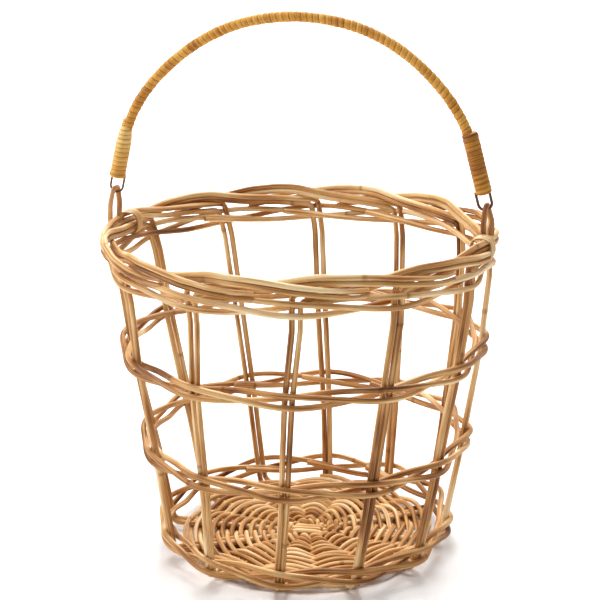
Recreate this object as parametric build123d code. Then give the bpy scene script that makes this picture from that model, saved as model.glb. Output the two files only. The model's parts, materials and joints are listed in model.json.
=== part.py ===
from build123d import *
import os
from math import cos, pi, radians, sin, tan

# Egg collection basket of round cane. All sizes are in millimetres.
# +Z is up. The origin is on the floor, at the middle of the base.
# The bow handle lies in the XZ plane; its two rings hang on the border at +X and -X.

# ---------------------------------------------------------------- driving dimensions
ROD_R = 1.75                  # stakes, base sticks and wale strands: 3.5 mm cane
WEAVER_R = 1.5                # base weavers: 3 mm cane
PAIRS = 12                    # pairs of stakes round the basket
PAIR_STEP = 360 / PAIRS
PAIR_HALF_GAP = 2.0           # half the distance between the two stakes of a pair

BASE_LEVEL = 2 * WEAVER_R + ROD_R + 0.1     # centre of the base sticks above the floor
BASE_CORNER_R = 88.6          # where the stakes turn up out of the base
MIDDLE_Z = 136.5              # the sides steepen a little here
MIDDLE_R = 110.9
BORDER_Z = 200.0              # where the lower stake of a pair bends into the border
BORDER_R = 118.8
BOTTOM_ANGLE = 5.5            # direction of the first pair at the base, in degrees
TOP_ANGLE = 13.0              # direction of the same pair at the border

WALE_HEIGHTS = {"foot": 15.0, "lower": 75.5, "middle": 137.5, "top": 191.6}
WALE_HALF_HEIGHT = {"foot": 4.2, "lower": 3.5, "middle": 3.5, "top": 3.5}
WALE_STRANDS = 3
WALE_SWING = 4.0              # how far a strand passes outside or inside a stake's centre
WALE_POINTS = 36
BUTT_GAP = 0.3                # between the two cut ends of a wale strand

STACK = 1.80                  # half the height between the two rods of a border tail

RING_R = 1.6                  # cane of the handle rings
RING_HALF_WIDTH = 3.8
RING_X = 121.0                # rings hang round the border's top rods
RING_BOTTOM_Z = 201.6
RING_TOP_Z = 230.5
RING_LEAN = 1.8               # the top of a ring leans this far towards the middle

WIRE_R = 0.7                  # wire eyes of the handle
EYE_HALF_WIDTH = 4.2
HINGE_GAP = 0.1
PIVOT_X = RING_X - RING_LEAN
PIVOT_Z = RING_TOP_Z - RING_R - WIRE_R - HINGE_GAP
HANDLE_END_X = 117.7          # lower end of the wrapped bow
HANDLE_END_Z = 237.6
SHOULDER_X = 109.0            # top of the thick end wraps
SHOULDER_Z = 276.5
BOW_TOP_Z = 343.5
CORE_R = 1.7
WRAP_R = 2.7
END_WRAP_R = 5.25
FIT = 0.05                    # gap between a wrap and what it is wound round
EYE_LEG = 12.0                # how far an eye's legs run up into the end wrap
END_WRAP_LENGTH = 38.5
WRAP_TUCK = 17.0              # how far the bow's wrap runs down inside an end wrap, from its top


# ---------------------------------------------------------------- helpers
def polar(radius, degrees, z):
    """A point at a radius and direction round the basket's axis."""
    return Vector(radius * cos(radians(degrees)), radius * sin(radians(degrees)), z)


def smooth_path(points, closed=False, largest=400.0):
    """Straight runs joined by tangent arcs, each as large as its two runs allow."""
    count = len(points)
    corners = range(count) if closed else range(1, count - 1)
    radii = []
    for i in corners:
        before = points[i] - points[i - 1]
        after = points[(i + 1) % count] - points[i]
        half_turn = radians(before.get_angle(after)) / 2
        shorter = min(before.length, after.length)
        radii.append(min(0.45 * shorter / tan(half_turn), largest))
    return FilletPolyline(*points, radius=radii, close=closed)


def rod(path, radius):
    """A round rod along a path."""
    return sweep(Plane(path @ 0, z_dir=path % 0) * Circle(radius), path=path)


def closed_rod(path, radius):
    """A round rod along a closed path, made as two halves and joined."""
    edges = path.edges()
    half = len(edges) // 2
    return rod(Wire(edges[:half]), radius) + rod(Wire(edges[half:]), radius)


def side_radius(z):
    """Radius of the stakes' centre lines at a height."""
    if z < MIDDLE_Z:
        share = (z - BASE_LEVEL) / (MIDDLE_Z - BASE_LEVEL)
        return BASE_CORNER_R + share * (MIDDLE_R - BASE_CORNER_R)
    share = (z - MIDDLE_Z) / (BORDER_Z - MIDDLE_Z)
    return MIDDLE_R + share * (BORDER_R - MIDDLE_R)


def pair_angle(pair, z):
    """Direction of a pair of stakes at a height; the sides twist a little."""
    share = (z - BASE_LEVEL) / (BORDER_Z - BASE_LEVEL)
    return BOTTOM_ANGLE + share * (TOP_ANGLE - BOTTOM_ANGLE) + pair * PAIR_STEP


# ---------------------------------------------------------------- base
SLATH_HALF = 8.0              # half the size of the cross in the middle of the base
STICK_END_R = 76.0
STICK_SPACING = 3.7


def base_stick(group, place):
    """One of three parallel sticks of the cross, fanned out to two opposite spokes."""
    lift = 1.8 if group == 0 else -1.8
    turn = BOTTOM_ANGLE + group * 90
    offset = place * STICK_SPACING
    fan = place * PAIR_STEP
    points = [
        polar(STICK_END_R, fan, BASE_LEVEL),
        polar(2.4 * SLATH_HALF, fan, BASE_LEVEL),
        Vector(SLATH_HALF, offset, BASE_LEVEL + lift),
        Vector(-SLATH_HALF, offset, BASE_LEVEL + lift),
        polar(2.4 * SLATH_HALF, 180 - fan, BASE_LEVEL),
        polar(STICK_END_R, 180 - fan, BASE_LEVEL),
    ]
    return rod(smooth_path(points, largest=40), ROD_R).rotate(Axis.Z, turn)


WEAVE_START_R = 23.0
WEAVE_END_R = 75.0
WEAVE_PITCH = 7.4


def base_weaver(side):
    """A flat spiral of half turns with two centres, above or below the sticks."""
    level = side * (ROD_R + WEAVER_R + FIT)
    arcs = []
    radius = WEAVE_START_R
    half = 0
    while radius < WEAVE_END_R:
        centre_x = 0 if half % 2 == 0 else WEAVE_PITCH / 2
        arcs.append(CenterArc((centre_x, 0, 0), radius, 180 * (half % 2), 180))
        radius += WEAVE_PITCH / 2
        half += 1
    spiral = Wire([arc.edge() for arc in arcs])
    return Pos(0, 0, BASE_LEVEL + level) * rod(spiral, WEAVER_R)


# ---------------------------------------------------------------- sides and border
# A tail's place along the border: steps of one pair, out from the stakes' circle, height.
TAIL = [
    (0.42, -4.6, 203.4),
    (0.92, -4.5, 205.9),
    (1.09, -4.6, 206.9),
    (1.19, -2.1, 209.4),
    (1.40, 2.5, 207.8),
    (1.70, 2.6, 207.4),
    (1.98, 3.95, 204.6),
    (2.32, 4.3, 202.3),
]


def stake(pair, member):
    """A stake: in beside a base stick, up the side, over and along the border.

    member is -1 for the stake that trails and bends over the other, and 1 for the lower.
    """
    def beside(radius, z, across):
        angle = pair_angle(pair, z)
        tangent = polar(1, angle + 90, 0)
        return polar(radius, angle, z) + tangent * (member * across)

    stack = -member * STACK
    points = [
        beside(40, BASE_LEVEL, 3.75),
        beside(STICK_END_R + 4, BASE_LEVEL, 3.75),
        beside(BASE_CORNER_R, BASE_LEVEL, PAIR_HALF_GAP),
        beside(MIDDLE_R, MIDDLE_Z, PAIR_HALF_GAP),
        beside(BORDER_R, BORDER_Z + 0.2 + stack, PAIR_HALF_GAP),
    ]
    start = pair_angle(pair, BORDER_Z)
    for steps, out, z in TAIL:
        points.append(polar(BORDER_R + out, start + steps * PAIR_STEP, z + stack))
    return rod(smooth_path(points), ROD_R)


def wale_strand(name, strand):
    """One strand of a three-rod wale: outside two pairs, inside the third, and so round."""
    z = WALE_HEIGHTS[name]
    half_height = WALE_HALF_HEIGHT[name]
    middle = WALE_SWING / 3
    second = -0.25 * WALE_SWING
    first = 4 * WALE_SWING / 3 + second
    length = PAIRS - BUTT_GAP / (radians(PAIR_STEP) * side_radius(z))
    points = []
    for i in range(WALE_POINTS + 1):
        steps = strand + 2 + length * i / WALE_POINTS
        phase = 2 * pi * (steps - strand - 0.5) / WALE_STRANDS
        out = middle + first * cos(phase) + second * cos(2 * phase)
        up = -2 / 3 ** 0.5 * half_height * sin(phase)
        angle = pair_angle(0, z) + steps * PAIR_STEP
        points.append(polar(side_radius(z + up) + out, angle, z + up))
    return rod(smooth_path(points), ROD_R)


# ---------------------------------------------------------------- rings and lashings
def ring(side):
    """A closed cane loop round the border's top rods, twisted a quarter turn on the way up."""
    x = side * RING_X
    lean = -side * RING_LEAN
    w = RING_HALF_WIDTH
    points = [
        Vector(x - w, 0, RING_BOTTOM_Z),
        Vector(x + w, 0, RING_BOTTOM_Z),
        Vector(x + w, 0, 212.5),
        Vector(x + 0.66 * w + lean / 2, 0.72 * w, 220.0),
        Vector(x + lean, w, RING_TOP_Z),
        Vector(x + lean, -w, RING_TOP_Z),
        Vector(x - 0.66 * w + lean / 2, -0.72 * w, 220.0),
        Vector(x - w, 0, 212.5),
    ]
    return closed_rod(smooth_path(points, closed=True, largest=12), RING_R)


LASHING_ANGLE = 4.4           # beside the ring, in degrees round the border
LASHING_WIDTH = 8.0
LASHING_THICK = 1.2
LASHING_LOW = (-7.5, 199.0)   # inner corners of the binding, out from BORDER_R and height
LASHING_HIGH = (4.8, 212.0)


def lashing(side):
    """A flat-cane binding round the border, behind the left ring or in front of the right one."""
    angle = -LASHING_ANGLE if side > 0 else 180 - LASHING_ANGLE
    width = LASHING_HIGH[0] - LASHING_LOW[0]
    height = LASHING_HIGH[1] - LASHING_LOW[1]
    out = BORDER_R + (LASHING_HIGH[0] + LASHING_LOW[0]) / 2
    level = (LASHING_HIGH[1] + LASHING_LOW[1]) / 2
    outer = RectangleRounded(width + 2 * LASHING_THICK, height + 2 * LASHING_THICK, 2.4)
    inner = RectangleRounded(width, height, 1.2)
    place = Plane(polar(out, angle, level), x_dir=polar(1, angle, 0), z_dir=polar(1, angle + 90, 0))
    return extrude(place * (outer - inner), LASHING_WIDTH / 2, both=True)


# ---------------------------------------------------------------- handle
HALF_BOW = [
    (100.5, 291.0),
    (87.0, 307.0),
    (66.0, 325.0),
    (38.0, 338.5),
]


def bow_points():
    """The wrapped middle of the bow, between the tops of the two end wraps."""
    left = [Vector(-SHOULDER_X, 0, SHOULDER_Z)]
    left += [Vector(-x, 0, z) for x, z in HALF_BOW]
    right = [Vector(-point.X, 0, point.Z) for point in reversed(left)]
    return left + [Vector(0, 0, BOW_TOP_Z)] + right


def core_path():
    """Line of the rod inside the wraps, from one end of the handle to the other."""
    ends = [Vector(side * HANDLE_END_X, 0, HANDLE_END_Z) for side in (-1, 1)]
    return smooth_path([ends[0]] + bow_points() + [ends[1]])


def wrap_path():
    """Line of the bow's wrap, which starts inside the two end wraps."""
    points = bow_points()
    below = [points[0] - end_direction(-1) * WRAP_TUCK, points[-1] - end_direction(1) * WRAP_TUCK]
    return smooth_path([below[0]] + points + [below[1]])


def handle_wrap():
    """The cane wound round the bow, as a sleeve."""
    path = wrap_path()
    section = Plane(path @ 0, z_dir=path % 0) * (Circle(WRAP_R) - Circle(CORE_R + FIT))
    return sweep(section, path=path)


def end_direction(side):
    """Unit vector up along the straight end of the handle."""
    low = Vector(side * HANDLE_END_X, 0, HANDLE_END_Z)
    high = Vector(side * SHOULDER_X, 0, SHOULDER_Z)
    return (high - low).normalized()


def wire_eye(side):
    """A U of wire under the end of the handle; its round bottom hangs in the ring."""
    up = end_direction(side)
    across = Vector(0, 1, 0).cross(up)
    bottom = Vector(side * PIVOT_X, 0, PIVOT_Z)
    centre = bottom + up * EYE_HALF_WIDTH
    length = (Vector(side * HANDLE_END_X, 0, HANDLE_END_Z) - bottom).length + EYE_LEG
    left = centre - across * EYE_HALF_WIDTH
    right = centre + across * EYE_HALF_WIDTH
    legs = up * (length - EYE_HALF_WIDTH)
    path = Wire([
        Line(left + legs, left).edge(),
        ThreePointArc(left, bottom, right).edge(),
        Line(right, right + legs).edge(),
    ])
    return rod(path, WIRE_R)


def end_wrap(side):
    """The thick binding at a handle end, wound over the rod, the bow's wrap and the eye."""
    low = Vector(side * HANDLE_END_X, 0, HANDLE_END_Z)
    binding = extrude(Plane(low, z_dir=end_direction(side)) * Circle(END_WRAP_R), END_WRAP_LENGTH)
    binding -= rod(core_path(), CORE_R + FIT)
    binding -= rod(wrap_path(), WRAP_R + FIT)
    return binding - wire_eye(side)


# ---------------------------------------------------------------- the whole basket
def all_nodes():
    """Each piece of the basket under its name."""
    nodes = {}
    for group in (0, 1):
        for place in (-1, 0, 1):
            nodes[f"base_stick_{3 * group + place + 2}"] = base_stick(group, place)
    nodes["base_weaver_upper"] = base_weaver(1)
    nodes["base_weaver_lower"] = base_weaver(-1)
    for pair in range(PAIRS):
        nodes[f"stake_{pair + 1:02d}_a"] = stake(pair, -1)
        nodes[f"stake_{pair + 1:02d}_b"] = stake(pair, 1)
    for name in WALE_HEIGHTS:
        for strand in range(WALE_STRANDS):
            nodes[f"{name}_wale_strand_{strand + 1}"] = wale_strand(name, strand)
    nodes["handle_core"] = rod(core_path(), CORE_R)
    nodes["handle_wrap"] = handle_wrap()
    for side, word in ((-1, "left"), (1, "right")):
        nodes[f"ring_{word}"] = ring(side)
        nodes[f"lashing_{word}"] = lashing(side)
        nodes[f"wire_eye_{word}"] = wire_eye(side)
        nodes[f"end_wrap_{word}"] = end_wrap(side)
    return nodes


os.makedirs("parts", exist_ok=True)
for node, solid in all_nodes().items():
    export_step(solid, f"parts/{node}.step")
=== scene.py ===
import json
import math

import bpy
import numpy as np
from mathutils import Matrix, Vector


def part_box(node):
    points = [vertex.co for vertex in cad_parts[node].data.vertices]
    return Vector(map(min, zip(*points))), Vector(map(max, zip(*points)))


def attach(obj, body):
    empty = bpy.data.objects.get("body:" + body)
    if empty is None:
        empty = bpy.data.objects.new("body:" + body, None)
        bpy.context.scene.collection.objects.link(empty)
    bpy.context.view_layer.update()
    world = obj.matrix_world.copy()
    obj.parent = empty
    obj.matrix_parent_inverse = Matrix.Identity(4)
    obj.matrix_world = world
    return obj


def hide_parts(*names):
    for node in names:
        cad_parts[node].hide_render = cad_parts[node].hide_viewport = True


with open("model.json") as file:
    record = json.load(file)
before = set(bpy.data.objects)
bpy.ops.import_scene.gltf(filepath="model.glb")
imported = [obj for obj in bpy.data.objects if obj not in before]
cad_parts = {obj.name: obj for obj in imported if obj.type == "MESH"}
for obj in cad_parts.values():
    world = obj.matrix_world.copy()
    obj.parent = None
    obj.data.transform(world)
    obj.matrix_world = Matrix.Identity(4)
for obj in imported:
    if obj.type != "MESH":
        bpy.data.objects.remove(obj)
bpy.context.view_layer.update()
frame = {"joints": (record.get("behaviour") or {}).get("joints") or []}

# Egg collection basket of round cane, in metres. +Z is up and the handle lies in the XZ plane.
# Every CAD node is replaced by one mesh piece: rods with knots, cut ends and grain, and
# windings with real turns. All rods are built from centre lines by rod_mesh().

# ---------------------------------------------------------------- design sizes
MM = 0.001
PAIRS = 12
PAIR_STEP = 360 / PAIRS
ROD = 1.75 * MM               # radius of stakes, sticks and wale strands
WEAVER = 1.5 * MM             # radius of the base weavers
BOTTOM_ANGLE = 5.5            # degrees to the first stake pair at the base
TOP_ANGLE = 13.0              # and at the border
PAIR_HALF_GAP = 1.95 * MM     # from a pair's middle to each of its two centre lines
STACK = 1.75 * MM             # a pair's two tails lie this much above and below their middle
rng = np.random.default_rng(7)


def middle(node):
    """Centre of a CAD node's box."""
    low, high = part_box(node)
    return (low + high) / 2


BASE_LEVEL = middle("base_stick_2").z
STICK_END_R = (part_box("base_stick_2")[1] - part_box("base_stick_2")[0]).x / 2
# Radius of the stakes' circle where they turn up, at the middle and at the border.
BASE_CORNER_R = 89.8 * MM
MIDDLE_R = 112.0 * MM
BORDER_R = 119.2 * MM
MIDDLE_Z = 136.5 * MM
BORDER_Z = 200.0 * MM
WALES = ("foot", "lower", "middle", "top")
WALE_Z = {name: middle(f"{name}_wale_strand_1").z for name in WALES}
WALE_Z["top"] += 1.8 * MM     # pushed up tight under the border


# ---------------------------------------------------------------- geometry helpers
def polar(radius, degrees, z):
    """The point at a radius, direction and height."""
    a = math.radians(degrees)
    return np.array([radius * math.cos(a), radius * math.sin(a), z])


def side_radius(z):
    """Radius of the stakes' circle at a height."""
    if z < MIDDLE_Z:
        share = (z - BASE_LEVEL) / (MIDDLE_Z - BASE_LEVEL)
        return BASE_CORNER_R + share * (MIDDLE_R - BASE_CORNER_R)
    share = (z - MIDDLE_Z) / (BORDER_Z - MIDDLE_Z)
    return MIDDLE_R + share * (BORDER_R - MIDDLE_R)


# Degrees by which some pairs lean off their even places above the middle, as made by hand.
PAIR_LEAN = {2: -1.4, 3: -2.2, 7: 1.5, 8: 1.7, 9: 1.9, 10: 0.6}
LEAN_START_Z = 90 * MM
LEAN_RUN = 110 * MM


def pair_angle(pair, z):
    """Direction of a stake pair at a height; the sides twist a little."""
    share = (z - BASE_LEVEL) / (BORDER_Z - BASE_LEVEL)
    lean = PAIR_LEAN.get(pair, 0) * min(max((z - LEAN_START_Z) / LEAN_RUN, 0), 1)
    return BOTTOM_ANGLE + share * (TOP_ANGLE - BOTTOM_ANGLE) + lean + pair * PAIR_STEP


def resample(points, step, closed=False):
    """Evenly spaced points along a polyline."""
    points = np.asarray(points, float)
    if closed:
        points = np.vstack([points, points[:1]])
    runs = np.linalg.norm(np.diff(points, axis=0), axis=1)
    along = np.concatenate([[0], np.cumsum(runs)])
    count = max(int(round(along[-1] / step)), 4) + 1
    places = np.linspace(0, along[-1], count)
    if closed:
        places = places[:-1]
    return np.stack([np.interp(places, along, points[:, i]) for i in range(3)], axis=1)


def smooth_line(points, soft=4 * MM, step=1.5 * MM, closed=False):
    """A springy centre line: the polyline with its corners rounded by a moving average."""
    fine = 0.5 * MM
    dense = resample(points, fine, closed)
    reach = int(3 * soft / fine)
    weights = np.exp(-0.5 * (np.arange(-reach, reach + 1) * fine / soft) ** 2)
    weights /= weights.sum()
    if closed:
        padded = np.take(dense, range(-reach, len(dense) + reach), axis=0, mode="wrap")
    else:
        head = 2 * dense[0] - dense[1:reach + 1][::-1]
        tail = 2 * dense[-1] - dense[-reach - 1:-1][::-1]
        padded = np.vstack([head, dense, tail])
    rounded = np.stack([np.convolve(padded[:, i], weights, "valid") for i in range(3)], axis=1)
    return resample(rounded, step, closed)


def wave_noise(length, places, wavelength, seed_rng):
    """Smooth random values of about -1 to 1 at places along a length."""
    knots = max(int(length / wavelength), 2) + 3
    values = seed_rng.uniform(-1, 1, knots)
    at = places / max(length, 1e-9) * (knots - 3) + 1
    base = np.clip(np.floor(at).astype(int), 1, knots - 3)
    t = at - base
    a, b, c, d = values[base - 1], values[base], values[base + 1], values[base + 2]
    return b + 0.5 * t * (c - a + t * (2 * a - 5 * b + 4 * c - d + t * (3 * (b - c) + d - a)))


def carried_frames(line, closed=False):
    """Tangent and two normals along a centre line, carried along without twisting."""
    if closed:
        ahead = np.roll(line, -1, axis=0) - np.roll(line, 1, axis=0)
    else:
        ahead = np.gradient(line, axis=0)
    tangents = ahead / np.linalg.norm(ahead, axis=1)[:, None]
    start = np.cross(tangents[0], [0, 0, 1.0])
    if np.linalg.norm(start) < 0.2:
        start = np.cross(tangents[0], [1.0, 0, 0])
    normals = np.zeros_like(line)
    normals[0] = start / np.linalg.norm(start)
    for i in range(1, len(line)):
        carried = normals[i - 1] - tangents[i] * normals[i - 1].dot(tangents[i])
        normals[i] = carried / np.linalg.norm(carried)
    if closed:
        last = normals[-1] - tangents[0] * normals[-1].dot(tangents[0])
        last /= np.linalg.norm(last)
        turn = math.atan2(np.cross(last, normals[0]).dot(tangents[0]), last.dot(normals[0]))
        angles = turn * np.arange(len(line)) / len(line)
        sides = np.cross(tangents, normals)
        normals = normals * np.cos(angles)[:, None] + sides * np.sin(angles)[:, None]
    return tangents, normals, np.cross(tangents, normals)


def make_object(name, vertices, faces, attributes, material):
    """A smooth-shaded mesh object with per-vertex attributes for its material."""
    mesh = bpy.data.meshes.new(name)
    mesh.from_pydata(vertices.tolist(), [], faces)
    mesh.polygons.foreach_set("use_smooth", np.ones(len(mesh.polygons), bool))
    for key, values in attributes.items():
        kind = "FLOAT_VECTOR" if values.ndim == 2 else "FLOAT"
        field = "vector" if values.ndim == 2 else "value"
        layer = mesh.attributes.new(key, kind, "POINT")
        layer.data.foreach_set(field, values.astype(np.float32).ravel())
    mesh.materials.append(material)
    mesh.update()
    piece = bpy.data.objects.new(name, mesh)
    bpy.context.scene.collection.objects.link(piece)
    return piece


def ring_faces(rings, sides, closed):
    """Quads that join ring after ring of vertices into a tube."""
    faces = []
    for i in range(rings if closed else rings - 1):
        a = i * sides
        b = ((i + 1) % rings) * sides
        for j in range(sides):
            k = (j + 1) % sides
            faces.append((a + j, a + k, b + k, b + j))
    return faces


KNOT_START = (40, 260)        # mm to a rod's first knot, and from one knot to the next
KNOT_STEP = (160, 380)
KNOT_WIDTH = 1.1 * MM
TIP_LENGTH = 60 * MM
BEVEL = 0.12                  # a cut end stands out this far, in radii
CUT_R = 0.8                   # and its flat face is this wide


def rod_mesh(name, line, radius, material, tone=0.5, closed=False, sides=14, flat=0.0,
             knots=True, rough=0.05, tip=1.0):
    """A cane rod round a centre line: uneven, with knots, bevelled cut ends and a thinner tip."""
    count = len(line)
    tangents, normals, sides_dir = carried_frames(line, closed)
    steps = np.linalg.norm(np.diff(line, axis=0), axis=1)
    along = np.concatenate([[0], np.cumsum(steps)])
    length = along[-1]
    thick = np.ones(count)
    if not closed:
        thick += rough * wave_noise(length, along, 45 * MM, rng)
        thick *= np.interp(length - along, [0, TIP_LENGTH], [tip, 1.0])
    knot_and_gap_shade = np.zeros(count)
    if knots and not closed:
        place = rng.uniform(*KNOT_START) * MM
        while place < length - 12 * MM:
            knot_and_gap_shade = np.maximum(knot_and_gap_shade, np.exp(-(((along - place) / KNOT_WIDTH) ** 2)))
            place += rng.uniform(*KNOT_STEP) * MM
    thick += 0.06 * knot_and_gap_shade
    angles = 2 * math.pi * np.arange(sides) / sides
    turn = rng.uniform(0, math.pi)
    oval = 1 + (0.035 + flat) * np.cos(2 * (angles + turn))
    r = radius * thick[:, None] * oval[None, :]
    across = normals[:, None, :] * np.cos(angles)[None, :, None]
    across = across + sides_dir[:, None, :] * np.sin(angles)[None, :, None]
    vertices = (line[:, None, :] + across * r[:, :, None]).reshape(-1, 3)
    shift = rng.uniform(-1, 1, 3)
    straight = np.stack([
        (r * np.cos(angles)).ravel() + shift[0],
        (r * np.sin(angles)).ravel() + shift[1],
        np.repeat(along, sides) + shift[2],
    ], axis=1)
    tones = np.repeat(tone + 0.20 * wave_noise(max(length, 0.01), along, 50 * MM, rng), sides)
    knot_values = np.repeat(knot_and_gap_shade, sides)
    cut = np.zeros(count * sides)
    faces = ring_faces(count, sides, closed)
    if not closed:
        for end, outward in ((0, -1), (count - 1, 1)):
            first = len(vertices)
            centre = line[end] + tangents[end] * outward * BEVEL * radius
            inner = line[end] + (across[end] * r[end][:, None]) * CUT_R
            inner = inner + tangents[end] * outward * BEVEL * radius
            vertices = np.vstack([vertices, inner, centre[None, :]])
            ends = np.repeat(straight[end * sides:end * sides + 1], sides + 1, axis=0)
            ends[:sides] = straight[end * sides:(end + 1) * sides]
            straight = np.vstack([straight, ends])
            tones = np.concatenate([tones, np.full(sides + 1, tones[end * sides])])
            knot_values = np.concatenate([knot_values, np.zeros(sides + 1)])
            cut = np.concatenate([cut, np.ones(sides + 1)])
            for j in range(sides):
                k = (j + 1) % sides
                rim = (end * sides + j, end * sides + k, first + k, first + j)
                fan = (first + j, first + k, first + sides)
                faces.append(rim if outward > 0 else rim[::-1])
                faces.append(fan if outward > 0 else fan[::-1])
    attributes = {"straight": straight, "tone": tones, "knot_and_gap_shade": knot_values, "cut": cut}
    return make_object(name, vertices, faces, attributes, material)


def wander(line, size, wavelength=70 * MM):
    """Moves a centre line off its even course a little, as hand-worked cane is."""
    steps = np.linalg.norm(np.diff(line, axis=0), axis=1)
    along = np.concatenate([[0], np.cumsum(steps)])
    drift = np.stack([wave_noise(along[-1], along, wavelength, rng) for _ in range(3)], axis=1)
    return line + size * drift


SWAY_HEIGHTS = [0, 15, 60, 180, 204]      # mm, each with its move to +X
SWAY_MOVES = [1.3, 1.3, 2.4, 2.3, 0]
CROSS_X = 3.2 * MM                        # the base's cross is this far off centre
CROSS_Y = -4.0 * MM
CROSS_REACH = 80 * MM
BASE_TOP = 20                             # mm, the highest part of the base


def sway(line):
    """The hand-made lean: the sides stand a little to +X of the border, the base's middle more."""
    moved = line.copy()
    z = line[:, 2] / MM
    moved[:, 0] += np.interp(z, SWAY_HEIGHTS, SWAY_MOVES) * MM
    inner = np.clip(1 - np.hypot(line[:, 0], line[:, 1]) / CROSS_REACH, 0, 1)
    inner = np.where(z < BASE_TOP, inner, 0)
    moved[:, 0] += CROSS_X * inner
    moved[:, 1] += CROSS_Y * inner
    return moved


# ---------------------------------------------------------------- materials
def new_material(name):
    """A material with its nodes, links and Principled shader."""
    material = bpy.data.materials.new(name)
    material.use_nodes = True
    nodes = material.node_tree.nodes
    shader = nodes["Principled BSDF"]
    return material, nodes, material.node_tree.links, shader


def attribute(nodes, name):
    """A node that reads one of the meshes' own per-vertex attributes."""
    node = nodes.new("ShaderNodeAttribute")
    node.attribute_name = name
    return node


def math_node(nodes, links, operation, *values):
    """A math node's output; each value is a number or another node's output."""
    node = nodes.new("ShaderNodeMath")
    node.operation = operation
    for socket, value in zip(node.inputs, values):
        if hasattr(value, "links"):
            links.new(value, socket)
        else:
            socket.default_value = value
    return node.outputs[0]


def grain(nodes, links, scale, detail):
    """Noise in the rod's own straightened space, so that it runs along the rod."""
    mapping = nodes.new("ShaderNodeMapping")
    mapping.inputs["Scale"].default_value = scale
    links.new(attribute(nodes, "straight").outputs["Vector"], mapping.inputs["Vector"])
    noise = nodes.new("ShaderNodeTexNoise")
    noise.inputs["Scale"].default_value = 1.0
    noise.inputs["Detail"].default_value = detail
    noise.inputs["Roughness"].default_value = 0.55
    links.new(mapping.outputs["Vector"], noise.inputs["Vector"])
    return noise.outputs["Fac"]


# Multiplied in at knots, a real darker colour, and in the gaps between turns of windings and
# strips, painted shade.
KNOT_AND_GAP_SHADE_TINT = (0.34, 0.21, 0.12, 1)
PITH = (0.34, 0.19, 0.09, 1)


def cane_material(name, stops, roughness, coat, spread=1.0):
    """Cane: a ramp of tones driven by each rod's own tone, long fibres and slow patches."""
    material, nodes, links, shader = new_material(name)
    tone = attribute(nodes, "tone").outputs["Fac"]
    fibres = grain(nodes, links, (2600, 2600, 38), 4.0)
    streaks = grain(nodes, links, (700, 700, 16), 2.0)
    patches = grain(nodes, links, (60, 60, 22), 2.0)
    total = tone
    for noise, gain in ((streaks, 1.5 * spread), (fibres, 0.8 * spread), (patches, 1.5 * spread)):
        change = math_node(nodes, links, "MULTIPLY_ADD", noise, gain, -gain / 2)
        total = math_node(nodes, links, "ADD", total, change)
    ramp = nodes.new("ShaderNodeValToRGB")
    ramp.color_ramp.elements[0].position = stops[0][0]
    ramp.color_ramp.elements[0].color = (*stops[0][1], 1)
    ramp.color_ramp.elements[1].position = stops[-1][0]
    ramp.color_ramp.elements[1].color = (*stops[-1][1], 1)
    for position, colour in stops[1:-1]:
        element = ramp.color_ramp.elements.new(position)
        element.color = (*colour, 1)
    links.new(total, ramp.inputs["Fac"])
    dark = nodes.new("ShaderNodeMix")
    dark.data_type = "RGBA"
    dark.blend_type = "MULTIPLY"
    dark.inputs["B"].default_value = KNOT_AND_GAP_SHADE_TINT
    links.new(ramp.outputs["Color"], dark.inputs["A"])
    # Darkens the knots, and paints shade into the grooves of windings and along strip edges.
    amount = math_node(nodes, links, "MULTIPLY", attribute(nodes, "knot_and_gap_shade").outputs["Fac"], 0.75)
    links.new(amount, dark.inputs["Factor"])
    pith = nodes.new("ShaderNodeMix")
    pith.data_type = "RGBA"
    pith.inputs["B"].default_value = PITH
    links.new(dark.outputs["Result"], pith.inputs["A"])
    links.new(attribute(nodes, "cut").outputs["Fac"], pith.inputs["Factor"])
    links.new(pith.outputs["Result"], shader.inputs["Base Color"])
    gloss = nodes.new("ShaderNodeMapRange")
    gloss.inputs["To Min"].default_value = roughness - 0.10
    gloss.inputs["To Max"].default_value = roughness + 0.14
    links.new(streaks, gloss.inputs["Value"])
    links.new(gloss.outputs["Result"], shader.inputs["Roughness"])
    shader.inputs["Coat Weight"].default_value = coat
    shader.inputs["Coat Roughness"].default_value = 0.35
    shader.inputs["Specular IOR Level"].default_value = 0.20
    bump = nodes.new("ShaderNodeBump")
    bump.inputs["Strength"].default_value = 0.35
    bump.inputs["Distance"].default_value = 0.00012
    links.new(fibres, bump.inputs["Height"])
    links.new(bump.outputs["Normal"], shader.inputs["Normal"])
    return material


CANE_STOPS = [
    (0.00, (0.15, 0.052, 0.012)),
    (0.25, (0.33, 0.135, 0.036)),
    (0.50, (0.53, 0.268, 0.090)),
    (0.75, (0.70, 0.430, 0.182)),
    (1.00, (0.84, 0.630, 0.360)),
]
GOLD_STOPS = [
    (0.00, (0.20, 0.066, 0.008)),
    (0.30, (0.42, 0.165, 0.022)),
    (0.55, (0.64, 0.300, 0.046)),
    (0.80, (0.78, 0.440, 0.100)),
    (1.00, (0.88, 0.600, 0.230)),
]
RING_STOPS = [
    (0.00, (0.13, 0.042, 0.014)),
    (0.35, (0.32, 0.125, 0.042)),
    (0.65, (0.54, 0.260, 0.095)),
    (1.00, (0.72, 0.440, 0.210)),
]
cane = cane_material("cane", CANE_STOPS, 0.50, 0.04)
golden = cane_material("golden_cane", GOLD_STOPS, 0.42, 0.08, 0.55)
brown = cane_material("ring_cane", RING_STOPS, 0.45, 0.06, 0.7)
pale = cane_material("lashing_cane", CANE_STOPS, 0.40, 0.10, 0.6)


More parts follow.
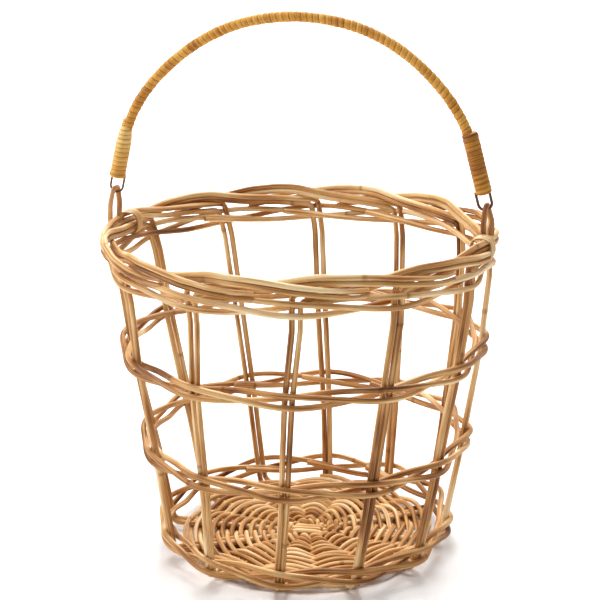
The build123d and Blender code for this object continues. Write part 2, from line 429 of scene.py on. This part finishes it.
def wire_material():
    """Dark brown wire with a worn, coppery shine."""
    material, nodes, links, shader = new_material("wire")
    wear = grain(nodes, links, (900, 900, 300), 3.0)
    ramp = nodes.new("ShaderNodeValToRGB")
    ramp.color_ramp.elements[0].color = (0.060, 0.026, 0.016, 1)
    ramp.color_ramp.elements[1].color = (0.28, 0.150, 0.095, 1)
    links.new(wear, ramp.inputs["Fac"])
    links.new(ramp.outputs["Color"], shader.inputs["Base Color"])
    shader.inputs["Metallic"].default_value = 0.75
    shader.inputs["Roughness"].default_value = 0.38
    return material


wire = wire_material()


def finish_piece(piece, body, node):
    """Hangs a piece on its body, in place of its CAD node."""
    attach(piece, body)
    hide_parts(node)
    return piece


# ---------------------------------------------------------------- base
STICK_SPACING = 3.7 * MM
STICK_LIFT = 1.8 * MM         # the first three sticks cross over the other three
SLATH_HALF = 8 * MM           # half of the cross's straight part
STICK_ACROSS = 3.75 * MM      # from a stick to the stakes pushed in beside it


def base_stick_line(group, place):
    """One of three parallel sticks of the cross, fanned out to two opposite spokes."""
    lift = STICK_LIFT if group == 0 else -STICK_LIFT
    fan = place * PAIR_STEP
    offset = place * STICK_SPACING
    half = [polar(STICK_END_R, fan, BASE_LEVEL), polar(2.4 * SLATH_HALF, fan, BASE_LEVEL)]
    half.append(np.array([SLATH_HALF, offset, BASE_LEVEL + lift]))
    other = [np.array([-x, y, z]) for x, y, z in reversed(half)]
    turn = math.radians(BOTTOM_ANGLE + group * 90)
    c, s = math.cos(turn), math.sin(turn)
    return np.array([[c * x - s * y, s * x + c * y, z] for x, y, z in half + other])


for group in (0, 1):
    for place in (-1, 0, 1):
        node = f"base_stick_{3 * group + place + 2}"
        line = sway(smooth_line(base_stick_line(group, place), 3 * MM))
        tone = rng.uniform(0.75, 0.95) if group == 0 else rng.uniform(0.40, 0.65)
        piece = rod_mesh(node + "_rod", line, ROD, cane, tone)
        finish_piece(piece, "basket", node)

WEAVE_START_R = 8.5 * MM
WEAVE_END_R = 82 * MM
WEAVE_PITCH = 6.0 * MM


def pairing_line(side):
    """A weaver that passes over one spoke and under the next, twisted with its partner."""
    turns = (WEAVE_END_R - WEAVE_START_R) / WEAVE_PITCH
    count = int(turns * PAIRS * 12)
    points = []
    for i in range(count + 1):
        degrees = 360 * turns * i / count
        spokes = (degrees + (0 if side > 0 else 3)) / PAIR_STEP
        radius = WEAVE_START_R + WEAVE_PITCH * degrees / 360
        out = side * 1.35 * MM * math.sin(math.pi * spokes)
        up = side * (ROD + WEAVER + 0.1 * MM) * math.cos(math.pi * spokes)
        angle = BOTTOM_ANGLE + spokes * PAIR_STEP
        points.append(polar(radius + out, angle, BASE_LEVEL + up))
    return np.array(points)


for side, word in ((1, "upper"), (-1, "lower")):
    line = smooth_line(pairing_line(side), 1.0 * MM, 1.3 * MM)
    line = sway(wander(line, 0.55 * MM, 16 * MM))
    piece = rod_mesh(f"base_weaver_{word}_strand", line, WEAVER, cane, 0.60, sides=10)
    finish_piece(piece, "basket", f"base_weaver_{word}")


# ---------------------------------------------------------------- stakes and border
STAKE_START_R = 40 * MM
# A tail's place along the border: steps of one pair, out from the stakes' circle, height.
TAIL = [
    (0.42, -4.2, 203.0),
    (0.80, -4.2, 204.8),
    (1.02, -3.4, 207.2),
    (1.20, -1.0, 209.2),
    (1.42, 1.6, 209.2),
    (1.70, 2.8, 208.2),
    (2.00, 3.8, 205.4),
    (2.28, 3.6, 203.0),
    (2.50, 1.8, 201.2),
    (2.68, -1.2, 200.4),
]


def stake_line(pair, member, spread):
    """Centre line of a stake, from beside its spoke up the side and along the border."""
    def beside(radius, z, across):
        angle = pair_angle(pair, z)
        tangent = polar(1, angle + 90, 0)
        return polar(radius, angle, z) + tangent * (member * across)

    stack = -member * STACK
    points = [
        beside(STAKE_START_R, BASE_LEVEL, STICK_ACROSS),
        beside(STICK_END_R + 4 * MM, BASE_LEVEL, STICK_ACROSS),
        beside(BASE_CORNER_R, BASE_LEVEL, PAIR_HALF_GAP),
        beside(MIDDLE_R, MIDDLE_Z, PAIR_HALF_GAP + 0.5 * spread),
        beside(BORDER_R, BORDER_Z + 0.2 * MM + stack, PAIR_HALF_GAP + spread),
    ]
    start = pair_angle(pair, BORDER_Z)
    for steps, out, z in TAIL:
        points.append(polar(BORDER_R + out * MM, start + steps * PAIR_STEP, z * MM + stack))
    return np.array(points)


for pair in range(PAIRS):
    spread = rng.uniform(0.0, 0.8) * MM
    for member, letter in ((-1, "a"), (1, "b")):
        node = f"stake_{pair + 1:02d}_{letter}"
        line = smooth_line(stake_line(pair, member, spread), 2.8 * MM)
        line = sway(wander(line, 0.45 * MM))
        tone = rng.uniform(0.36, 0.82) - (0.06 if 6 <= pair <= 9 else 0)
        piece = rod_mesh(node + "_rod", line, ROD * rng.uniform(0.98, 1.08), cane, tone, tip=0.72)
        finish_piece(piece, "basket", node)


# ---------------------------------------------------------------- wales
SAG = 2.2 * MM                # a strand runs this much flatter than an arc between two pairs
OVERLAP = 0.30                # past a full round at each end, in steps of one pair
TUCK = 3.4 * MM               # a strand's end is tucked in this much
STEP_POINTS = 12


def wale_line(name, strand):
    """A strand that passes outside two stake pairs and inside the third, all the way round."""
    z = WALE_Z[name]
    half_height = (4.2 if name == "foot" else 3.5) * MM
    swing = (2.9 if name == "top" else 3.6) * MM
    middle_out = swing / 3 - (1.0 * MM if name == "top" else 0)
    second = -0.25 * swing
    first = 4 * swing / 3 + second
    count = PAIRS * STEP_POINTS
    points = []
    for i in range(count + 1):
        share = i / count
        steps = strand + 2 - OVERLAP + (PAIRS + 2 * OVERLAP) * share
        phase = 2 * math.pi * (steps - strand - 0.5) / 3
        out = middle_out + first * math.cos(phase) + second * math.cos(2 * phase)
        up = -2 / 3 ** 0.5 * half_height * math.sin(phase)
        out -= SAG * math.sin(math.pi * steps) ** 2
        last = max(0.0, (steps - strand - PAIRS - 1.6) / 0.4)
        out -= TUCK * min(last, 1.0)
        angle = pair_angle(0, z) + steps * PAIR_STEP
        points.append(polar(side_radius(z + up) + out, angle, z + up))
    return np.array(points)


for name in WALES:
    for strand in range(3):
        node = f"{name}_wale_strand_{strand + 1}"
        line = smooth_line(wale_line(name, strand), 3 * MM)
        line = sway(wander(line, 0.6 * MM, 60 * MM))
        # The foot wale's strands are made darker: painted shade low down by the floor.
        tone = rng.uniform(0.45, 0.85) - (0.15 if name == "foot" else 0)
        piece = rod_mesh(node + "_rod", line, ROD * rng.uniform(1.0, 1.09), cane, tone)
        finish_piece(piece, "basket", node)


# ---------------------------------------------------------------- flat windings
def strip_mesh(name, line, outward, width, thick, material, tone):
    """A flat strip of split cane along a line, its face turned outward, its edges rounded."""
    tangents = np.gradient(line, axis=0)
    tangents /= np.linalg.norm(tangents, axis=1)[:, None]
    outward = outward - tangents * (outward * tangents).sum(axis=1)[:, None]
    outward /= np.linalg.norm(outward, axis=1)[:, None]
    across = np.cross(tangents, outward)
    sides = 12
    angles = 2 * math.pi * np.arange(sides) / sides
    x = np.sign(np.cos(angles)) * np.abs(np.cos(angles)) ** 0.6 * width / 2
    y = np.sign(np.sin(angles)) * np.abs(np.sin(angles)) ** 0.8 * thick / 2
    y = y - 0.35 * thick * (x / (width / 2)) ** 2
    vertices = line[:, None, :] + across[:, None, :] * x[None, :, None]
    vertices = (vertices + outward[:, None, :] * y[None, :, None]).reshape(-1, 3)
    steps = np.linalg.norm(np.diff(line, axis=0), axis=1)
    along = np.concatenate([[0], np.cumsum(steps)])
    shift = rng.uniform(-1, 1, 3)
    straight = np.stack([
        np.tile(x, len(line)) + shift[0],
        np.tile(y, len(line)) + shift[1],
        np.repeat(along, sides) + shift[2],
    ], axis=1)
    faces = ring_faces(len(line), sides, False)
    faces.append(tuple(range(sides))[::-1])
    faces.append(tuple(range((len(line) - 1) * sides, len(line) * sides)))
    tones = np.repeat(tone + 0.1 * wave_noise(along[-1], along, 20 * MM, rng), sides)
    # Painted shade: the strip's long edges are darker, for the gaps between turns.
    edge_shade = np.tile((np.abs(x) > 0.4 * width).astype(float), len(line)) * 0.8
    attributes = {"straight": straight, "tone": tones, "knot_and_gap_shade": edge_shade, "cut": np.zeros(len(edge_shade))}
    return make_object(name, vertices, faces, attributes, material)


LASH_OUT = 6.8 * MM           # half the loop's size across the border and up
LASH_UP = 7.3 * MM
LASH_RAISE = 0.6 * MM
LASH_TURNS = 5.2
LASH_PITCH = 1.75 * MM
LASH_AWAY = 0.7 * MM          # further from the ring than the plain sleeve
LASH_START = 0.8              # angle of the strip's first end


def lashing_piece(word):
    """Five turns of pale split cane round the border bundle, side by side."""
    centre = np.array(middle(f"lashing_{word}")) + [0, 0, LASH_RAISE]
    angle = math.atan2(centre[1], centre[0])
    radial = np.array([math.cos(angle), math.sin(angle), 0])
    tangent = np.array([-math.sin(angle), math.cos(angle), 0])
    count = int(LASH_TURNS * 48)
    line = []
    outward = []
    for i in range(count + 1):
        a = 2 * math.pi * LASH_TURNS * i / count + LASH_START
        c, s = math.cos(a), math.sin(a)
        out = math.copysign(abs(c) ** 0.75, c)
        up = math.copysign(abs(s) ** 0.75, s)
        along = (i / count - 0.5) * LASH_TURNS * LASH_PITCH * (1 + 0.16 * c) + 0.9 * MM * s
        along -= LASH_AWAY
        line.append(centre + radial * out * LASH_OUT + tangent * along + [0, 0, up * LASH_UP])
        outward.append(radial * c + np.array([0, 0, s]))
    line = smooth_line(line, 0.8 * MM, 0.8 * MM)
    places = np.linspace(0, count, len(line))
    outward = np.array(outward)
    outward = np.stack([np.interp(places, range(count + 1), outward[:, i]) for i in range(3)], 1)
    width = 0.80 * LASH_PITCH
    piece = strip_mesh(f"lashing_{word}_strip", line, outward, width, 1.0 * MM, pale, 0.84)
    return finish_piece(piece, "basket", f"lashing_{word}")


GROOVE_SHADE_REACH = 0.10                 # how far the painted shade of a groove reaches, in turns


def wound_mesh(name, line, radius_at, pitch, depth, material, tone, sides=28, patches=()):
    """A rod wound with flat strip: a helical groove between turns, with painted shade in it, each
    turn a little uneven.
    """
    _, normals, side_dirs = carried_frames(line)
    steps = np.linalg.norm(np.diff(line, axis=0), axis=1)
    along = np.concatenate([[0], np.cumsum(steps)])
    length = along[-1]
    angles = 2 * math.pi * np.arange(sides) / sides
    lean = wave_noise(length, along, 9 * MM, rng) * 0.10
    q = (along[:, None] / pitch) + lean[:, None] - angles[None, :] / (2 * math.pi)
    turn = np.floor(q)
    part = q - turn
    wound = turn + angles[None, :] / (2 * math.pi)
    total = length / pitch + 3
    uneven = wave_noise(total, (wound + 1.5).ravel(), 0.8, rng).reshape(wound.shape)
    ridge = (1 - np.abs(2 * part - 1) ** 5) * depth - 0.35 * depth * part
    r = radius_at(along)[:, None] + ridge - depth + 0.22 * depth * uneven
    across = normals[:, None, :] * np.cos(angles)[None, :, None]
    across = across + side_dirs[:, None, :] * np.sin(angles)[None, :, None]
    vertices = (line[:, None, :] + across * r[:, :, None]).reshape(-1, 3)
    shift = rng.uniform(-1, 1, 3)
    around = 2 * math.pi * np.median(radius_at(along))
    straight = np.stack([
        (part * pitch).ravel() + shift[0],
        np.full(part.size, shift[1]),
        (wound * around).ravel() + shift[2],
    ], axis=1)
    tones = tone + 0.14 * wave_noise(total, (wound + 1.5).ravel(), 2.3, rng)
    tones = tones.reshape(part.shape)
    for centre, half, amount in patches:
        tones = tones + amount * np.exp(-(((along / length - centre) / half) ** 4))[:, None]
    # Painted shade: the colour is darkened in the groove between turns.
    groove_shade = np.clip(1.3 - np.minimum(part, 1 - part) / GROOVE_SHADE_REACH, 0, 1)
    vertices = np.vstack([vertices, line[:1], line[-1:]])
    straight = np.vstack([straight, straight[:1], straight[-1:]])
    tones = np.concatenate([tones.ravel(), [tone, tone]])
    groove_shade = np.concatenate([groove_shade.ravel(), [0, 0]])
    faces = ring_faces(len(line), sides, False)
    last = (len(line) - 1) * sides
    for j in range(sides):
        k = (j + 1) % sides
        faces.append((j, len(line) * sides, k))
        faces.append((last + j, last + k, len(line) * sides + 1))
    attributes = {"straight": straight, "tone": tones, "knot_and_gap_shade": groove_shade,
                  "cut": np.zeros(len(vertices))}
    return make_object(name, vertices, faces, attributes, material)


# ---------------------------------------------------------------- rings and lashings
joint_at = {joint["name"]: np.array(joint["pos_m"]) for joint in frame["joints"]}
RING = 1.7 * MM
END_SHIFT = {-1: -3.0 * MM, 1: -1.5 * MM}     # the hung ends' places along X, left and right
RING_DESIGN_RISE = 28.9         # the rise that the heights in ring_line() are given for
WIRE = 0.7 * MM


def ring_line(word, side):
    """A closed loop round the border's top rods, twisted a quarter turn on the way up."""
    low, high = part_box(f"ring_{word}")
    x = joint_at[f"ring_{word}_tilt"][0] + END_SHIFT[side]
    lean = -side * 1.8 * MM
    w = (high.y - low.y) / 2 - RING
    foot = w * (0.90 if side < 0 else 0.68)
    x_foot = x - (1.2 * MM if side > 0 else 0)
    bottom = low.z + RING
    top = high.z - RING
    rise = (top - bottom) / RING_DESIGN_RISE
    points = [
        (x_foot - foot, 0, bottom - 0.4 * MM),
        (x_foot + foot, 0, bottom - 0.4 * MM),
        (x_foot + foot, 0, bottom + 8 * rise),
        (x + 0.66 * w + lean / 2, 0.72 * w, bottom + 18.5 * rise),
        (x + lean, w, top + 0.3 * MM),
        (x + lean, -w, top + 0.3 * MM),
        (x - 0.66 * w + lean / 2, -0.72 * w, bottom + 18.5 * rise),
        (x_foot - foot, 0, bottom + 8 * rise),
    ]
    return np.array(points)


for side, word in ((-1, "left"), (1, "right")):
    line = smooth_line(ring_line(word, side), 1.6 * MM, 0.8 * MM, closed=True)
    tone = 0.92 if side < 0 else 0.40
    piece = rod_mesh(f"ring_{word}_loop", line, RING, brown, tone, closed=True, flat=0.06)
    finish_piece(piece, f"ring_{word}", f"ring_{word}")
    lashing_piece(word)


# ---------------------------------------------------------------- handle
PIVOT = joint_at["handle_swing"]
# The bow's two halves, from each shoulder to the top: the left one bellies out a little more.
LEFT_BOW = [(102.0, 290.6), (87.7, 306.4), (65.1, 324.2), (36.8, 337.6)]
RIGHT_BOW = [(97.9, 290.6), (84.8, 306.4), (64.5, 324.2), (37.4, 337.4)]
LEFT_SHOULDER = np.array([-111.0, 0, 276.5]) * MM
RIGHT_SHOULDER = np.array([106.0, 0, 276.5]) * MM
WRAP_END_X = 117.7 * MM         # the lower ends of the end wraps
WRAP_END_Z = 237.6 * MM
LEFT_END = np.array([-WRAP_END_X + END_SHIFT[-1], 0, WRAP_END_Z])
RIGHT_END = np.array([WRAP_END_X + END_SHIFT[1], 0, WRAP_END_Z])
BOW_TOP = 342.8 * MM
BOW_R = 3.4 * MM                # radius over the bow's winding


def unit(vector):
    """The vector at length one."""
    return vector / np.linalg.norm(vector)


LEFT_UP = unit(LEFT_SHOULDER - LEFT_END)
RIGHT_UP = unit(RIGHT_SHOULDER - RIGHT_END)


def bow_points(left_start, right_start):
    """The bow's corners, from its left start over the top to its right start."""
    left = [np.array([-x, 0, z]) * MM for x, z in LEFT_BOW]
    right = [np.array([x, 0, z]) * MM for x, z in reversed(RIGHT_BOW)]
    top = [np.array([0, 0, BOW_TOP])]
    return [left_start, LEFT_SHOULDER] + left + top + right + [RIGHT_SHOULDER, right_start]


BOW_SOFT = 13 * MM
CORE_R = 1.6 * MM
core_line = smooth_line(bow_points(LEFT_END, RIGHT_END), BOW_SOFT)
core = rod_mesh("handle_core_rod", core_line, CORE_R, cane, 0.4, knots=False)
finish_piece(core, "handle", "handle_core")

wrap_ends = (LEFT_SHOULDER - 14 * MM * LEFT_UP, RIGHT_SHOULDER - 14 * MM * RIGHT_UP)
wrap_line = smooth_line(bow_points(*wrap_ends), BOW_SOFT, 0.4 * MM)
wrap = wound_mesh("handle_wrap_strip", wrap_line, lambda s: np.full(len(s), BOW_R), 3.8 * MM,
                  0.50 * MM, golden, 0.58,
                  patches=((0.27, 0.010, -0.18), (0.66, 0.012, -0.18)))
finish_piece(wrap, "handle", "handle_wrap")


END_WRAP_R = 5.05 * MM
END_WRAP_LENGTH = 38.5 * MM
EYE_HALF = 4.2 * MM           # half the width of a wire eye


def end_wrap_radius(taper, collar):
    """Thickness of an end wrap along its length: rounded ends, a taper and a collar."""
    def radius_at(s):
        length = s[-1]
        low = np.clip(s / (1.2 * MM), 0, 1) ** 0.5
        high = np.clip((length - s) / taper, 0, 1)
        high = high * high * (3 - 2 * high) if taper > 3 * MM else high ** 0.5
        neck = BOW_R - 0.2 * MM
        body = neck + (END_WRAP_R - neck) * np.minimum(low, high)
        return body + collar * np.exp(-((s / (3.2 * MM)) ** 4))
    return radius_at


def handle_end(side, word, start, up, taper, collar, tone):
    """The thick end wrap of the handle and the wire eye under it."""
    line = resample([start, start + up * END_WRAP_LENGTH], 0.35 * MM)
    piece = wound_mesh(f"end_wrap_{word}_strip", line, end_wrap_radius(taper, collar), 2.9 * MM,
                       0.40 * MM, golden, tone, sides=40)
    finish_piece(piece, "handle", f"end_wrap_{word}")
    across = np.cross([0, 1.0, 0], up)
    bottom = np.array([side * abs(PIVOT[0]) + END_SHIFT[side], 0, PIVOT[2]])
    centre = bottom + up * EYE_HALF
    rise = np.linalg.norm(start - bottom) + 2 * MM
    arc = [centre + EYE_HALF * (across * math.cos(a) + up * math.sin(a))
           for a in np.linspace(math.pi, 2 * math.pi, 25)]
    legs = [bottom + sign * across * EYE_HALF + up * rise for sign in (-1, 1)]
    line = resample([legs[0]] + arc + [legs[1]], 0.5 * MM)
    radius = WIRE if side < 0 else 1.3 * WIRE
    eye = rod_mesh(f"wire_eye_{word}_wire", line, radius, wire, 0.5,
                   knots=False, sides=12, rough=0.02)
    finish_piece(eye, "handle", f"wire_eye_{word}")


handle_end(-1, "left", LEFT_END, LEFT_UP, 15 * MM, 0.6 * MM, 0.76)
handle_end(1, "right", RIGHT_END, RIGHT_UP, 1.6 * MM, 0.1 * MM, 0.34)


# ---------------------------------------------------------------- floor, light and camera
def floor_and_light():
    """A pale floor that runs out of view, under soft studio light from above, behind and left."""
    size = 8.0
    mesh = bpy.data.meshes.new("floor")
    corners = [(-size, -size, 0), (size, -size, 0), (size, size, 0), (-size, size, 0)]
    mesh.from_pydata(corners, [], [(0, 1, 2, 3)])
    floor = bpy.data.objects.new("floor", mesh)
    bpy.context.scene.collection.objects.link(floor)
    material, _, _, shader = new_material("floor")
    shader.inputs["Base Color"].default_value = (0.88, 0.88, 0.88, 1)
    shader.inputs["Roughness"].default_value = 0.8
    mesh.materials.append(material)
    world = bpy.data.worlds.new("studio")
    world.use_nodes = True
    world.node_tree.nodes["Background"].inputs["Color"].default_value = (1, 1, 1, 1)
    world.node_tree.nodes["Background"].inputs["Strength"].default_value = 0.28
    bpy.context.scene.world = world
    for name, place, aim, size, power in (
        ("overhead", (-0.2, 0.2, 2.2), (0, 0, 0), 1.5, 40.0),
        ("back", (-0.5, 1.5, 1.6), (0, 0, 0.05), 0.8, 18.0),
        ("left", (-1.9, -0.5, 0.9), (0, 0, 0.12), 0.9, 25.0),
        ("far_floor", (0, 3.6, 2.4), (0, 3.6, 0), 4.0, 230.0),
    ):
        light = bpy.data.lights.new(name, "AREA")
        light.size = size
        light.energy = power
        lamp = bpy.data.objects.new(name, light)
        lamp.location = place
        aim = np.array(aim) - np.array(place)
        lamp.rotation_mode = "QUATERNION"
        lamp.rotation_quaternion = Vector(aim).to_track_quat("-Z", "Y")
        bpy.context.scene.collection.objects.link(lamp)


CAMERA_AZIMUTH = 16.2
CAMERA_PITCH = 16.576
CAMERA_PLACE = (0.948, 0.4457)        # distance from the axis and height
CAMERA_LENS = 93.7
CAMERA_ROLL = -0.86


def make_camera():
    """The long-lens camera, a little above the border and a little to the right."""
    azimuth = math.radians(CAMERA_AZIMUTH)
    pitch = math.radians(CAMERA_PITCH)
    away, height = CAMERA_PLACE
    back = Vector((math.sin(azimuth) * math.cos(pitch),
                      -math.cos(azimuth) * math.cos(pitch), math.sin(pitch)))
    data = bpy.data.cameras.new("camera")
    data.sensor_width = 36
    data.lens = CAMERA_LENS
    camera = bpy.data.objects.new("camera", data)
    camera.location = (away * math.sin(azimuth), -away * math.cos(azimuth), height)
    camera.rotation_mode = "QUATERNION"
    roll = Matrix.Rotation(math.radians(CAMERA_ROLL), 3, "Z").to_quaternion()
    camera.rotation_quaternion = (-back).to_track_quat("-Z", "Y") @ roll
    bpy.context.scene.collection.objects.link(camera)
    bpy.context.scene.camera = camera


floor_and_light()
make_camera()
bpy.context.scene.view_settings.view_transform = "Standard"
